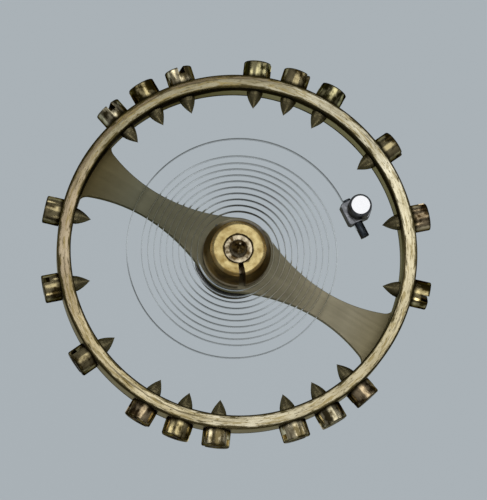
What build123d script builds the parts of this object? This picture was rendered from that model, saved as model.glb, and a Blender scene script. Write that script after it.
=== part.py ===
from build123d import *
import math
import os

# Screwed balance wheel of a large pocket watch, with its staff, roller, collet, hairspring and stud.
# Lengths are in millimetres and angles in degrees. The lower pivot's tip is the origin, the staff
# stands on +Z towards the hairspring, and the wheel's two arms lie along X.

# Wheel: a rim and a bar with a round hub, cut from one piece of brass, flush underneath
rim_outer_diameter = 17.0
rim_wall = 0.65
rim_height = 1.56
rim_edge_bevel = 0.09
arm_thickness = 0.36
arm_waist_distance = 4.7
arm_waist_width = 1.28
arm_root_width = 2.6
arm_root_fillet = 0.25
hub_diameter = 3.6

# Screws: slotted heads outside the rim, points reaching inwards from its inner wall
screw_head_diameter = 1.32
screw_head_length = 0.8
screw_slot_width = 0.3
screw_slot_depth = 0.36
screw_shank_diameter = 0.76
screw_point_length = 0.55
screw_point_reach = 0.78

# Each screw's place round the rim, and how far its slot is turned from upright
screw_angles = (18, 42, 66, 90, 102, 114, 138, 150, 162, 198, 222, 246, 270, 282, 294, 318, 330, 342)
slot_angles = (25, 110, 75, 95, 60, 80, 35, 88, 5, 70, 30, 50, 70, 95, 120, 60, 85, 100)

# Staff, from the lower pivot upwards
pivot_diameter = 0.12
pivot_length = 0.45
lower_cone_length = 0.5
lower_neck_length = 0.1
roller_seat_diameter = 0.9
staff_hub_height = 0.8
staff_hub_diameter = 2.1
balance_seat_diameter = 1.6
rivet_diameter = 1.9
rivet_height = 0.09
collet_seat_diameter = 1.34
staff_shoulder_depth = 0.06
staff_cone_base_diameter = 0.84
upper_cone_length = 0.82

# Roller table with its pipe, passing crescent and impulse jewel
roller_diameter = 3.76
roller_thickness = 0.4
roller_pipe_diameter = 1.5
roller_pipe_length = 0.3
roller_edge_bevel = 0.05
jewel_distance = 1.32
jewel_diameter = 0.42
jewel_flat_depth = 0.1
jewel_drop = 0.75
jewel_angle = 90
crescent_diameter = 0.8

# Collet: a split ring pressed on the staff, with a cross hole for the spring
collet_diameter = 3.2
collet_top_diameter = 2.64
collet_face_diameter = 2.1
collet_height = 1.34
collet_lift = 0.05
collet_wall_height = 0.5
collet_face_drop = 0.1
collet_slit_inner_width = 0.15
collet_slit_outer_width = 0.36
collet_slit_angle = -51
collet_hole_diameter = 0.34
collet_pin_tail = 0.12

# Hairspring: a flat spiral of rectangular wire, wound inwards anticlockwise. It keeps clear of the
# screws' points and of the collet, and its outer turn swings out from the body by the outer step
spring_thickness = 0.05
spring_blade_height = 0.22
spring_height_on_collet = 0.4
spring_to_collet = 0.12
spring_to_screws = 1.45
spring_outer_step = 1.12
spring_body_turns = 9.5
spring_start_angle = 56.5
outer_turn_shares = (1.0, 0.62, 0.19)
elbow_radius = 0.8
elbow_angle = 60
gap_samples_per_turn = 72

# Stud: a round post on a block with a cross hole, and a taper pin
stud_diameter = 1.08
stud_height = 1.62
stud_bevel = 0.1
stud_step = 0.48
stud_offset = 0.64
stud_arm_clearance = 0.17
stud_block_width = 1.12
stud_block_height = 0.72
stud_block_reach = 0.72
stud_block_back = 0.56
stud_back_bevel = 0.28
stud_hole_diameter = 0.54
stud_hole_offset = 0.17
stud_pin_tail = 0.75
stud_pin_nose = 0.12
spring_tail = 0.3

# Fits: space between fixed pieces, taper of the pins, and how far a cut runs past its face
seat_clearance = 0.01
pin_taper_share = 0.86
half_turn_shares = (0, 0.5, 1)
cut_overrun = 0.2

# Radii and heights that follow from the sizes above
rim_outer_radius = rim_outer_diameter / 2
rim_inner_radius = rim_outer_radius - rim_wall
rim_mean_radius = rim_outer_radius - rim_wall / 2
hub_radius = hub_diameter / 2
shank_radius = screw_shank_diameter / 2
screw_point_distance = rim_inner_radius - screw_point_reach
pivot_radius = pivot_diameter / 2
seat_radius = balance_seat_diameter / 2
bore_radius = collet_seat_diameter / 2 + seat_clearance
collet_radius = collet_diameter / 2
pipe_bottom = pivot_length + lower_cone_length + lower_neck_length
roller_bottom = pipe_bottom + roller_pipe_length
roller_top = roller_bottom + roller_thickness
arm_bottom = roller_top + staff_hub_height
arm_top = arm_bottom + arm_thickness
rim_middle = arm_bottom + rim_height / 2
rivet_top = arm_top + rivet_height
collet_bottom = rivet_top + collet_lift
collet_top = collet_bottom + collet_height
shoulder_top = collet_top - staff_shoulder_depth
upper_pivot_base = shoulder_top + upper_cone_length
staff_top = upper_pivot_base + pivot_length
spring_middle = collet_bottom + spring_height_on_collet
spring_half_thickness = spring_thickness / 2
spring_outer_radius = screw_point_distance - spring_to_screws
spring_inner_radius = collet_radius + spring_to_collet
body_outer_radius = spring_outer_radius - spring_outer_step
spring_pitch = (body_outer_radius - spring_inner_radius) / spring_body_turns
stud_distance = spring_outer_radius + stud_step
stud_bottom = arm_top + stud_arm_clearance


def polar(radius, angle):
    """Point in plan at this distance and angle from the staff."""
    return Vector(radius * math.cos(math.radians(angle)), radius * math.sin(math.radians(angle)), 0)


def turned(points):
    """Solid of revolution about Z from a closed outline of (radius, height) points."""
    outline = Polyline(*[(radius, 0, height) for radius, height in points], close=True)
    return revolve(make_face(outline), Axis.Z)


def screw_holes():
    """Cutters for the tapped holes of the screws."""
    cutter = Rot(0, 90, 0) * Cylinder(shank_radius + seat_clearance, rim_wall + 2 * cut_overrun)
    return [Rot(0, 0, angle) * Pos(rim_mean_radius, 0, rim_middle) * cutter for angle in screw_angles]


def rim():
    """Ring of the wheel, bevelled on the edges of its polished upper face."""
    rim_top = arm_bottom + rim_height
    bevel = rim_edge_bevel
    return turned([
        (rim_inner_radius, arm_bottom),
        (rim_outer_radius, arm_bottom),
        (rim_outer_radius, rim_top - bevel),
        (rim_outer_radius - bevel, rim_top),
        (rim_inner_radius + bevel, rim_top),
        (rim_inner_radius, rim_top - bevel),
    ])


def bend_radius(reach, rise):
    """Radius of the arc that rises this much over this reach from a level start."""
    return (reach**2 + rise**2) / (2 * rise)


def arm_edge(end, side):
    """Long edge of one arm: an arc tangent to the hub as far as the waist, then one out to the rim."""
    waist = arm_waist_width / 2
    root = arm_root_width / 2
    root_reach = math.sqrt(rim_inner_radius**2 - root**2)
    inner_bend = (arm_waist_distance**2 + waist**2 - hub_radius**2) / (2 * (hub_radius - waist))
    outer_bend = bend_radius(root_reach - arm_waist_distance, root - waist)
    touch = polar(hub_radius, math.degrees(math.atan2(waist + inner_bend, arm_waist_distance)))
    neck_reach = (touch.X + arm_waist_distance) / 2
    neck = waist + inner_bend - math.sqrt(inner_bend**2 - (arm_waist_distance - neck_reach) ** 2)
    flare_reach = (arm_waist_distance + root_reach) / 2
    flare = waist + outer_bend - math.sqrt(outer_bend**2 - (flare_reach - arm_waist_distance) ** 2)
    places = [
        (touch.X, touch.Y),
        (neck_reach, neck),
        (arm_waist_distance, waist),
        (flare_reach, flare),
        (root_reach, root),
        (rim_mean_radius, root),
    ]
    points = [(end * x, side * y) for x, y in places]
    return [ThreePointArc(*points[0:3]), ThreePointArc(*points[2:5]), Line(*points[4:6])]


def arm_outline():
    """Plan of the whole bar: four long edges, two ends and the hub's two sides."""
    edges = [edge for end in (1, -1) for side in (1, -1) for edge in arm_edge(end, side)]
    root = arm_root_width / 2
    edges += [Line((end * rim_mean_radius, root), (end * rim_mean_radius, -root)) for end in (1, -1)]
    touch = arm_edge(1, 1)[0] @ 0
    for side in (1, -1):
        rise = side * touch.Y
        edges.append(ThreePointArc((touch.X, rise), (0, side * hub_radius), (-touch.X, rise)))
    return Wire(edges)


def wheel():
    """Rim, arms and hub as one solid, with the staff's hole and the screws' holes."""
    bar = Pos(0, 0, arm_bottom) * extrude(make_face(arm_outline()), amount=arm_thickness)
    body = rim() + bar
    body = fillet(body.edges().filter_by(Axis.Z).filter_by(is_arm_corner), arm_root_fillet)
    hole = Cylinder(seat_radius + seat_clearance, arm_thickness + cut_overrun)
    return body - Pos(0, 0, arm_bottom + arm_thickness / 2) * hole - screw_holes()


def is_arm_corner(edge):
    """True for the upright edges where an arm's side meets the rim's inner wall."""
    middle = edge.center()
    radius = math.hypot(middle.X, middle.Y)
    return abs(radius - rim_inner_radius) < rim_edge_bevel and edge.length > arm_thickness / 2


def rim_screw(angle, slot_angle):
    """One screw: slotted head seated on the rim, shank through its wall and pointed end."""
    head_radius = screw_head_diameter / 2
    head_end = rim_outer_radius + screw_head_length
    profile = Polyline(
        (screw_point_distance, 0, 0),
        (screw_point_distance + screw_point_length, 0, shank_radius),
        (rim_outer_radius, 0, shank_radius),
        (rim_outer_radius, 0, head_radius),
        (head_end, 0, head_radius),
        (head_end, 0, 0),
        close=True,
    )
    screw = revolve(make_face(profile), Axis.X)
    slot = Box(screw_slot_depth + cut_overrun, screw_slot_width, screw_head_diameter + cut_overrun)
    slot_middle = head_end - screw_slot_depth + (screw_slot_depth + cut_overrun) / 2
    screw -= Rot(slot_angle, 0, 0) * Pos(slot_middle, 0, 0) * slot
    return Rot(0, 0, angle) * Pos(0, 0, rim_middle) * screw


def balance_staff():
    """Staff turned in one piece: pivots, roller seat, hub, riveted balance seat and collet seat."""
    roller_seat = roller_seat_diameter / 2
    hub = staff_hub_diameter / 2
    rivet = rivet_diameter / 2
    collet_seat = collet_seat_diameter / 2
    return turned([
        (0, 0),
        (pivot_radius, 0),
        (pivot_radius, pivot_length),
        (roller_seat, pivot_length + lower_cone_length),
        (roller_seat, roller_top + seat_clearance),
        (hub, roller_top + seat_clearance),
        (hub, arm_bottom - seat_clearance),
        (seat_radius, arm_bottom - seat_clearance),
        (seat_radius, arm_top + seat_clearance),
        (rivet, arm_top + seat_clearance),
        (rivet, rivet_top),
        (collet_seat, rivet_top),
        (collet_seat, shoulder_top),
        (staff_cone_base_diameter / 2, shoulder_top),
        (pivot_radius, upper_pivot_base),
        (pivot_radius, staff_top),
        (0, staff_top),
    ])


def impulse_outline(clearance):
    """Plan of the impulse jewel, a round with a flat on its outer side."""
    radius = jewel_diameter / 2 + clearance
    flat = jewel_distance + jewel_diameter / 2 - jewel_flat_depth + clearance
    plan = Pos(jewel_distance, 0) * Circle(radius)
    return plan - Pos(flat + radius, 0) * Rectangle(2 * radius, 4 * radius)


def roller_table():
    """Roller: bevelled table and pipe, with the jewel's hole and the passing crescent cut out."""
    bore = roller_seat_diameter / 2 + seat_clearance
    pipe = roller_pipe_diameter / 2
    edge = roller_diameter / 2
    bevel = roller_edge_bevel
    body = turned([
        (bore, pipe_bottom),
        (pipe, pipe_bottom),
        (pipe, roller_bottom),
        (edge - bevel, roller_bottom),
        (edge, roller_bottom + bevel),
        (edge, roller_top - bevel),
        (edge - bevel, roller_top),
        (bore, roller_top),
    ])
    cut_height = roller_thickness + 2 * cut_overrun
    crescent = Pos(edge + crescent_diameter / 8, 0) * Circle(crescent_diameter / 2)
    cutters = extrude(impulse_outline(seat_clearance) + crescent, amount=cut_height)
    return body - Rot(0, 0, jewel_angle) * Pos(0, 0, roller_bottom - cut_overrun) * cutters


def impulse_jewel():
    """Jewel pin that stands down from the roller, flush with the table's upper face."""
    pin = extrude(impulse_outline(0), amount=roller_thickness + jewel_drop)
    return Rot(0, 0, jewel_angle) * Pos(0, 0, roller_bottom - jewel_drop) * pin


def collet_hole_distance():
    """Distance of the collet's cross hole from the staff: just inside the spring's straight end."""
    return spring_end_distance() - (collet_hole_diameter / 2 - spring_thickness) / 2


def spring_end_distance():
    """Distance from the staff to the line of the spring's straight inner end."""
    return elbow_radius + (spring_inner_radius - elbow_radius) * math.cos(math.radians(elbow_angle))


def spring_end_angle():
    """Angle at which the line of the spring's inner end lies nearest to the staff."""
    joints = len(outer_turn_shares) + round(2 * spring_body_turns)
    return spring_start_angle + 180 * joints + elbow_angle


def chord_frame(distance, angle, height):
    """Place whose X runs out from the staff and whose Y runs on anticlockwise."""
    return Pos(0, 0, height) * Rot(0, 0, angle) * Pos(distance, 0, 0)


def collet():
    """Split collet with its bevelled flank, conical face, slit and cross hole."""
    body = turned([
        (bore_radius, collet_bottom),
        (collet_radius, collet_bottom),
        (collet_radius, collet_bottom + collet_wall_height),
        (collet_top_diameter / 2, collet_top - collet_face_drop),
        (collet_face_diameter / 2, collet_top),
        (bore_radius, collet_top),
    ])
    inner = collet_slit_inner_width / 2
    outer = collet_slit_outer_width / 2
    far = collet_radius + cut_overrun
    slit = make_face(Polyline((0, -inner), (far, -outer), (far, outer), (0, inner), close=True))
    slit = extrude(slit, amount=collet_height + 2 * cut_overrun)
    body -= Pos(0, 0, collet_bottom - cut_overrun) * Rot(0, 0, collet_slit_angle) * slit
    hole = Rot(90, 0, 0) * Cylinder(collet_hole_diameter / 2, collet_diameter)
    return body - chord_frame(collet_hole_distance(), spring_end_angle(), spring_middle) * hole


def collet_chord():
    """Half length of the cross hole where it leaves the collet's wall."""
    return math.sqrt(collet_radius**2 - spring_end_distance() ** 2)


def tapered_pin(big_radius, length, flat_offset):
    """Taper pin along +Y from its thin end, with a flat on the side that meets the spring."""
    pin = Rot(90, 0, 0) * Pos(0, 0, -length / 2) * Cone(big_radius, big_radius * pin_taper_share, length)
    side = math.copysign(big_radius, flat_offset)
    return pin - Pos(flat_offset + side, length / 2, 0) * Box(2 * big_radius, 2 * length, 4 * big_radius)


def collet_pin():
    """Pin that wedges the spring's inner end in the collet, on the side near the staff."""
    flat = spring_end_distance() - collet_hole_distance() - spring_half_thickness - seat_clearance
    nose = elbow_start() - spring_thickness
    length = nose + collet_chord() + collet_pin_tail
    pin = tapered_pin(collet_hole_diameter / 2 - seat_clearance, length, flat)
    return chord_frame(collet_hole_distance(), spring_end_angle(), spring_middle) * Pos(0, -nose, 0) * pin


def elbow_start():
    """Distance along the inner end's line from its nearest point to the elbow."""
    return (spring_inner_radius - elbow_radius) * math.sin(math.radians(elbow_angle))


def joint_radii():
    """Distance of the spiral from the staff at each half turn, from the stud inwards."""
    spread = spring_outer_radius - body_outer_radius
    outer = [body_outer_radius + share * spread for share in outer_turn_shares]
    halves = round(2 * spring_body_turns)
    body = [body_outer_radius - spring_pitch / 2 * half for half in range(halves + 1)]
    return outer + body


def spring_path():
    """Centre line of the hairspring: straight outer end, half turns, elbow and straight inner end."""
    radii = joint_radii()
    straight = stud_offset + stud_block_width / 2 + spring_tail
    start = polar(radii[0], spring_start_angle)
    tail = start + polar(straight, spring_start_angle - 90)
    edges = [Line(tail, start)]
    for index in range(len(radii) - 1):
        joint = spring_start_angle + 180 * index
        radius = (radii[index] + radii[index + 1]) / 2
        centre = polar(radii[index] - radius, joint)
        points = [centre + polar(radius, joint + share * 180) for share in half_turn_shares]
        edges.append(ThreePointArc(*points))
    joint = spring_start_angle + 180 * (len(radii) - 1)
    centre = polar(spring_inner_radius - elbow_radius, joint)
    points = [centre + polar(elbow_radius, joint + share * elbow_angle) for share in half_turn_shares]
    edges.append(ThreePointArc(*points))
    inner_run = elbow_start() + collet_chord() - collet_pin_tail
    edges.append(Line(points[-1], points[-1] + polar(inner_run, joint + elbow_angle + 90)))
    return Wire(edges)


def hairspring():
    """Spiral swept in one unbroken piece."""
    path = Pos(0, 0, spring_middle) * spring_path()
    end = Plane(origin=path @ 0, x_dir=(0, 0, 1), z_dir=path % 0)
    return sweep(end * Rectangle(spring_blade_height, spring_thickness), path=path)


def least_gap():
    """Least space between neighbouring turns, measured on points along the centre line."""
    radii = joint_radii()
    points = []
    for index in range(len(radii) - 1):
        joint = spring_start_angle + 180 * index
        radius = (radii[index] + radii[index + 1]) / 2
        centre = polar(radii[index] - radius, joint)
        count = gap_samples_per_turn // 2
        points += [centre + polar(radius, joint + 180 * step / count) for step in range(count)]
    near = gap_samples_per_turn // 2
    least = min(
        (first - second).length
        for place, first in enumerate(points)
        for second in points[place + near : place + 2 * gap_samples_per_turn]
    )
    return least - spring_thickness


def stud_place(distance):
    """Frame at the stud: X runs out from the staff, Y on anticlockwise, at this distance."""
    return Rot(0, 0, spring_start_angle) * Pos(distance, -stud_offset, 0)


def stud_hole_distance():
    """Distance of the stud's cross hole: the spring lies against the hole's inner side."""
    return spring_outer_radius + stud_hole_offset


def stud():
    """Stud: bevelled post on a block, with a cross hole for the spring and its pin."""
    block = Box(stud_block_reach + stud_block_back, stud_block_width, stud_block_height)
    block = chamfer(block.edges().filter_by(Axis.Z).group_by(Axis.X)[0], stud_bevel)
    block = chamfer(block.edges().filter_by(Axis.Z).group_by(Axis.X)[-1], stud_back_bevel)
    block_middle = (stud_block_back - stud_block_reach) / 2
    post = Cylinder(stud_diameter / 2, stud_height - stud_block_height)
    post = chamfer(post.edges().group_by(Axis.Z)[-1], stud_bevel)
    body = Pos(block_middle, 0, stud_bottom + stud_block_height / 2) * block
    body += Pos(0, 0, stud_bottom + (stud_height + stud_block_height) / 2) * post
    hole = Rot(90, 0, 0) * Cylinder(stud_hole_diameter / 2, 2 * stud_block_width)
    body = stud_place(stud_distance) * body
    return body - stud_place(stud_hole_distance()) * Pos(0, 0, spring_middle) * hole


def stud_pin():
    """Taper pin beside the spring in the stud, with its thick end standing out."""
    flat = spring_half_thickness + seat_clearance - stud_hole_offset
    length = stud_pin_tail + stud_block_width + stud_pin_nose
    pin = tapered_pin(stud_hole_diameter / 2 - seat_clearance, length, flat)
    thick_end = Pos(0, -stud_pin_tail - stud_block_width / 2, spring_middle)
    return stud_place(stud_hole_distance()) * thick_end * Pos(0, length, 0) * Rot(180, 0, 0) * pin


def write(name, shape):
    """Write one piece and say how large it is."""
    export_step(shape, f"parts/{name}.step")
    print(f"{name}: {len(shape.solids())} solid, {shape.volume:.4f} mm3")


os.makedirs("parts", exist_ok=True)
write("wheel", wheel())
for number, (angle, slot_angle) in enumerate(zip(screw_angles, slot_angles), start=1):
    write(f"rim_screw_{number:02d}", rim_screw(angle, slot_angle))
write("balance_staff", balance_staff())
write("roller_table", roller_table())
write("impulse_jewel", impulse_jewel())
write("collet", collet())
write("collet_pin", collet_pin())
write("hairspring", hairspring())
write("stud", stud())
write("stud_pin", stud_pin())
spring_length = spring_path().length
print(f"hairspring length {spring_length:.2f} mm, least gap {least_gap():.3f} mm")
print(f"hairspring section times length {spring_length * spring_thickness * spring_blade_height:.4f} mm3")
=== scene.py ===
import math
from functools import partialmethod

import bmesh
import bpy
import numpy as np
from mathutils import Matrix, Vector


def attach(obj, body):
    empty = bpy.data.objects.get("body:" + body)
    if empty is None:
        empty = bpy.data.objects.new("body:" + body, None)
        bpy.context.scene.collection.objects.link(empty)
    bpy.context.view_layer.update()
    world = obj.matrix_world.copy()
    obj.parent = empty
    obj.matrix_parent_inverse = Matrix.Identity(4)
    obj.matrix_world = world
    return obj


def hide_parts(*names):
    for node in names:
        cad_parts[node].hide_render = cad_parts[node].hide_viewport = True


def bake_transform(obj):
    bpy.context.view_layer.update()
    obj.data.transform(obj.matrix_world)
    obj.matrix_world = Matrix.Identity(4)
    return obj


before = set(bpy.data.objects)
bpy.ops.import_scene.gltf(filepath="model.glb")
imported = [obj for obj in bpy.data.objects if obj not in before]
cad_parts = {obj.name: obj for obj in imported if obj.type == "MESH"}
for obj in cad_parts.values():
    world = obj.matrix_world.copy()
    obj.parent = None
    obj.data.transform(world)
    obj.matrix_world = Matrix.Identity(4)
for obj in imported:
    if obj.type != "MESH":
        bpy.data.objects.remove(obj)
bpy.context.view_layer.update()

# Screwed balance wheel of a pocket watch: lengths in millimetres until a piece is placed, angles in
# degrees. The lower pivot's tip is the origin, the staff stands on +Z and the arms lie along X.
MM = 0.001
TURN = 2 * math.pi

# Wheel
rim_outer_radius = 8.5
rim_wall = 0.65
rim_height = 1.56
rim_edge_bevel = 0.09
rim_foot_bevel = 0.035
rim_seam_distance = 8.38
arm_thickness = 0.36
arm_waist_distance = 4.7
arm_waist_width = 1.28
arm_root_width = 2.6
arm_root_fillet = 0.3
arm_edge_bevel = 0.035
arm_corner_steps = 8
hub_radius = 1.8

# Screws
screw_head_radius = 0.66
screw_head_length = 0.8
screw_head_bevel = 0.07
screw_slot_width = 0.3
screw_slot_depth = 0.36
screw_slot_bevel = 0.02
screw_shank_radius = 0.38
screw_thread_pitch = 0.14
screw_thread_depth = 0.008
screw_rows_per_turn = 7
screw_point_length = 0.76
screw_point_distance = 7.07
screw_point_bulge = 1.55
screw_tip_radius = 0.012
screw_angles = (18, 42, 66, 90, 102, 114, 138, 150, 162, 198, 222, 246, 270, 282, 294, 318, 330, 342)
slot_angles = (25, 110, 75, 95, 60, 80, 8, 88, 5, 70, 30, 50, 70, 95, 120, 60, 85, 100)

# Staff, from the lower pivot upwards
pivot_radius = 0.06
pivot_end_radius = 0.035
pivot_length = 0.45
lower_cone_length = 0.5
lower_neck_length = 0.1
lower_cone_hollow = 0.12
lower_cone_steps = 10
roller_seat_radius = 0.45
staff_hub_height = 0.8
staff_hub_radius = 1.05
balance_seat_radius = 0.8
rivet_radius = 0.95
rivet_height = 0.09
collet_seat_radius = 0.67
staff_shoulder_depth = 0.06
staff_cone_base_radius = 0.42
staff_groove_width = 0.03
staff_groove_floor = 0.02
staff_groove_depth = 0.03
staff_edge_bevel = 0.03
upper_cone_length = 0.82
upper_cone_foot = 0.04
upper_cone_hollow = 0.07
upper_cone_hollow_rise = 0.32
upper_cone_steps = 14

# Roller table and impulse jewel
roller_radius = 1.88
roller_thickness = 0.4
roller_pipe_radius = 0.75
roller_pipe_length = 0.3
roller_edge_bevel = 0.05
roller_bore_bevel = 0.02
roller_pipe_fillet = 0.04
jewel_distance = 1.32
jewel_radius = 0.21
jewel_flat_depth = 0.1
jewel_drop = 0.75
jewel_angle = 90
jewel_end_bevel = 0.03
crescent_radius = 0.4
crescent_steps = 48

# Collet
collet_radius = 1.6
collet_top_radius = 1.32
collet_face_radius = 1.16
collet_height = 1.34
collet_lift = 0.05
collet_wall_height = 0.5
collet_face_drop = 0.05
collet_slit_inner_width = 0.15
collet_slit_outer_width = 0.36
collet_slit_angle = -51
collet_hole_radius = 0.17
collet_pin_tail = 0.12
collet_bore_bevel = 0.02
collet_edge_bevel = 0.05
collet_shoulder_round = 0.25
collet_cut_bevel = 0.015

# Hairspring
spring_thickness = 0.05
spring_blade_height = 0.22
spring_edge_bevel = 0.008
spring_height_on_collet = 0.4
spring_inner_radius = 1.72
spring_outer_radius = 5.62
spring_outer_step = 1.12
spring_body_turns = 9.5
spring_start_angle = 56.5
outer_turn_shares = (1.0, 0.62, 0.19)
elbow_radius = 0.8
elbow_angle = 60
half_turn_steps = 72
elbow_steps = 20

# Stud and its pin
stud_radius = 0.54
stud_height = 1.62
stud_bevel = 0.1
stud_distance = 6.1
stud_offset = 0.64
stud_arm_clearance = 0.17
stud_block_width = 1.12
stud_block_height = 0.72
stud_block_reach = 0.72
stud_block_back = 0.56
stud_back_bevel = 0.28
stud_edge_bevel = 0.025
stud_hole_radius = 0.27
stud_hole_offset = 0.17
stud_pin_tail = 0.75
stud_pin_nose = 0.12
spring_tail = 0.3

# Fits and fineness
seat_clearance = 0.01
pin_taper_share = 0.86
pin_end_bevel = 0.03
overrun = 0.2
wheel_segments = 288
staff_segments = 96
screw_segments = 48
smooth_angle = 32

# Radii and heights that follow
rim_inner_radius = rim_outer_radius - rim_wall
rim_mean_radius = rim_outer_radius - rim_wall / 2
bore_radius = collet_seat_radius + seat_clearance
head_end = rim_outer_radius + screw_head_length
pipe_bottom = pivot_length + lower_cone_length + lower_neck_length
roller_bottom = pipe_bottom + roller_pipe_length
roller_top = roller_bottom + roller_thickness
arm_bottom = roller_top + staff_hub_height
arm_top = arm_bottom + arm_thickness
rim_middle = arm_bottom + rim_height / 2
rim_top = arm_bottom + rim_height
rivet_top = arm_top + rivet_height
collet_bottom = rivet_top + collet_lift
collet_top = collet_bottom + collet_height
shoulder_top = collet_top - staff_shoulder_depth
upper_pivot_base = shoulder_top + upper_cone_length
staff_top = upper_pivot_base + pivot_length
spring_middle = collet_bottom + spring_height_on_collet
spring_pitch = (spring_outer_radius - spring_outer_step - spring_inner_radius) / spring_body_turns
stud_bottom = arm_top + stud_arm_clearance
stud_hole_distance = spring_outer_radius + stud_hole_offset

# Inner end of the spring: distance of its line from the staff and the angle where it lies nearest, how
# far before there it becomes straight, the collet's hole on it and half the chord that it cuts there
elbow_offset = spring_inner_radius - elbow_radius
half_turns = len(outer_turn_shares) + round(2 * spring_body_turns)
spring_end_distance = elbow_radius + elbow_offset * math.cos(math.radians(elbow_angle))
spring_end_angle = spring_start_angle + 180 * half_turns + elbow_angle
elbow_start = elbow_offset * math.sin(math.radians(elbow_angle))
collet_hole_distance = spring_end_distance - (collet_hole_radius - spring_thickness) / 2
collet_chord = math.sqrt(collet_radius**2 - spring_end_distance**2)

# Camera: the photograph's frame, how far the staff leans from the view and which way it and the arms
# point in the picture, and the place of the rim's centre there
frame_width = 487
frame_height = 500
focal_pixels = 3059.9
sensor_size = 36
staff_lean = 12.0976
staff_direction = 69.306
arm_direction = -30.444
camera_distance = 143.8
rim_centre_pixel = (238.01, 249.60)

# Stage
floor_drop = 30
floor_size = 4000
floor_roughness = 0.9
floor_glow = 1.18
floor_glow_share = 0.75
background = (0.402, 0.445, 0.474)
room_low = (0.11, 0.11, 0.11)
room_high = (0.26, 0.26, 0.265)
room_rise = (0.2, 1.0)

# Softboxes: direction in the picture, elevation, distance, width, height and radiance
softboxes = {
    "key": (40, 76, 300, 210, 210, 1.1),
    "left": (165, 36, 300, 90, 160, 1.5),
    "top": (95, 28, 300, 120, 60, 1.7),
    "right": (15, 30, 300, 60, 140, 1.7),
    "low": (275, 34, 300, 120, 70, 3.2),
}

# Rim face: directions in the picture that take a tint, the cosines of the angle from there at which it
# begins and is full, its strength and its colour. The tint towards the upper left darkens the face as
# painted shade, the one towards the right lightens it as a painted reflection, the others give tones by side
rim_face_tints_and_painted_light = (
    (125, -0.1, 0.85, 0.85, (0.25, 0.22, 0.13)),
    (180, 0.75, 0.97, 0.6, (0.44, 0.33, 0.21)),
    (352, 0.7, 0.97, 0.5, (0.86, 0.76, 0.48)),
    (228, 0.75, 0.97, 0.55, (0.50, 0.40, 0.19)),
    (316, 0.6, 0.95, 0.75, (0.40, 0.34, 0.20)),
)
seam_wander = 0.3
seam_lean = -0.08
seam_half_width = (0.01, 0.05)
edge_bite = 0.13
edge_blur = 0.03

# Walls of the rim: how far their dark bands of painted shade wander up and down and how soft their edges are
wall_wander = 0.2
band_blur = 0.12
foot_blur = 0.06

# Arms: places along X where a tint begins and is full, its strength and its colour. The first darkens the
# left arm as painted shade; the others make the ends browner near the rim
arm_painted_shade_and_tints = (
    (4.0, -5.0, 0.9, (0.135, 0.135, 0.088)),
    (-5.6, -7.8, 0.8, (0.12, 0.088, 0.028)),
    (6.2, 7.9, 0.6, (0.20, 0.165, 0.07)),
)

# Screws: clean and tarnished colour of each tint, and the tint of each screw
screw_tints = {
    "gold": ((0.74, 0.62, 0.32), (0.060, 0.043, 0.010)),
    "olive": ((0.64, 0.58, 0.31), (0.043, 0.038, 0.012)),
    "copper": ((0.66, 0.52, 0.32), (0.055, 0.035, 0.015)),
    "pale": ((0.88, 0.79, 0.53), (0.085, 0.068, 0.032)),
    "bright": ((1.0, 0.88, 0.58), (0.17, 0.135, 0.062)),
    "brown": ((0.44, 0.37, 0.20), (0.040, 0.028, 0.009)),
}
screw_finishes = ("gold", "copper", "brown", "olive", "brown", "olive", "bright", "gold", "pale",
                  "brown", "brown", "brown", "copper", "gold", "bright", "bright", "pale", "copper")

# Marks of wear: depth of their relief, and the range of a noise over which a metal gets rougher
relief_depth = 0.01
wear_range = (0.3, 0.7)


def polar(radius, angle):
    """Point in plan at this distance and angle from the staff."""
    return np.array([radius * math.cos(math.radians(angle)), radius * math.sin(math.radians(angle))])


def arc(centre, radius, start, end, steps):
    """Points on an arc in plan, both ends included."""
    angles = [start + (end - start) * step / steps for step in range(steps + 1)]
    return [np.array(centre) + polar(radius, angle) for angle in angles]


def rounded(corners, steps=5):
    """Closed outline from (first, second, corner radius) entries, each corner turned into an arc."""
    outline = []
    for index, (first, second, radius) in enumerate(corners):
        corner = np.array([first, second], float)
        if radius <= 0:
            outline.append(tuple(corner))
            continue
        sides = [np.array(corners[(index + way) % len(corners)][:2]) - corner for way in (-1, 1)]
        before, after = (side / np.linalg.norm(side) for side in sides)
        half = math.acos(max(-1.0, min(1.0, float(before @ after)))) / 2
        middle = (before + after) / np.linalg.norm(before + after) * radius / math.sin(half)
        start = before * radius / math.tan(half) - middle
        end = after * radius / math.tan(half) - middle
        opening = math.pi - 2 * half
        for step in range(steps + 1):
            near = math.sin((1 - step / steps) * opening) / math.sin(opening)
            far = math.sin(step / steps * opening) / math.sin(opening)
            outline.append(tuple(corner + middle + near * start + far * end))
    return outline


def bezier(first, control, last, steps):
    """Points of a curve that leaves first towards control and ends at last."""
    first, control, last = np.array([first, control, last])
    points = []
    for step in range(steps + 1):
        share = step / steps
        points.append((1 - share) ** 2 * first + 2 * share * (1 - share) * control + share**2 * last)
    return points


def add_object(name, data):
    """New object in the scene."""
    piece = bpy.data.objects.new(name, data)
    bpy.context.scene.collection.objects.link(piece)
    return piece


def solid(name, points, faces):
    """Object from points in millimetres, with its faces turned outwards."""
    mesh = bpy.data.meshes.new(name)
    mesh.from_pydata(np.array(points, float).tolist(), [], faces)
    work = bmesh.new()
    work.from_mesh(mesh)
    bmesh.ops.recalc_face_normals(work, faces=work.faces)
    work.to_mesh(mesh)
    work.free()
    return add_object(name, mesh)


def box_plan(left, right, near, far):
    """Corners of a rectangle, anticlockwise."""
    return [(left, near), (right, near), (right, far), (left, far)]


def rounded_box(plan, radii, steps=5):
    """Rectangle with a radius for each of its corners."""
    return rounded([(*corner, radius) for corner, radius in zip(plan, radii)], steps)


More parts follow.
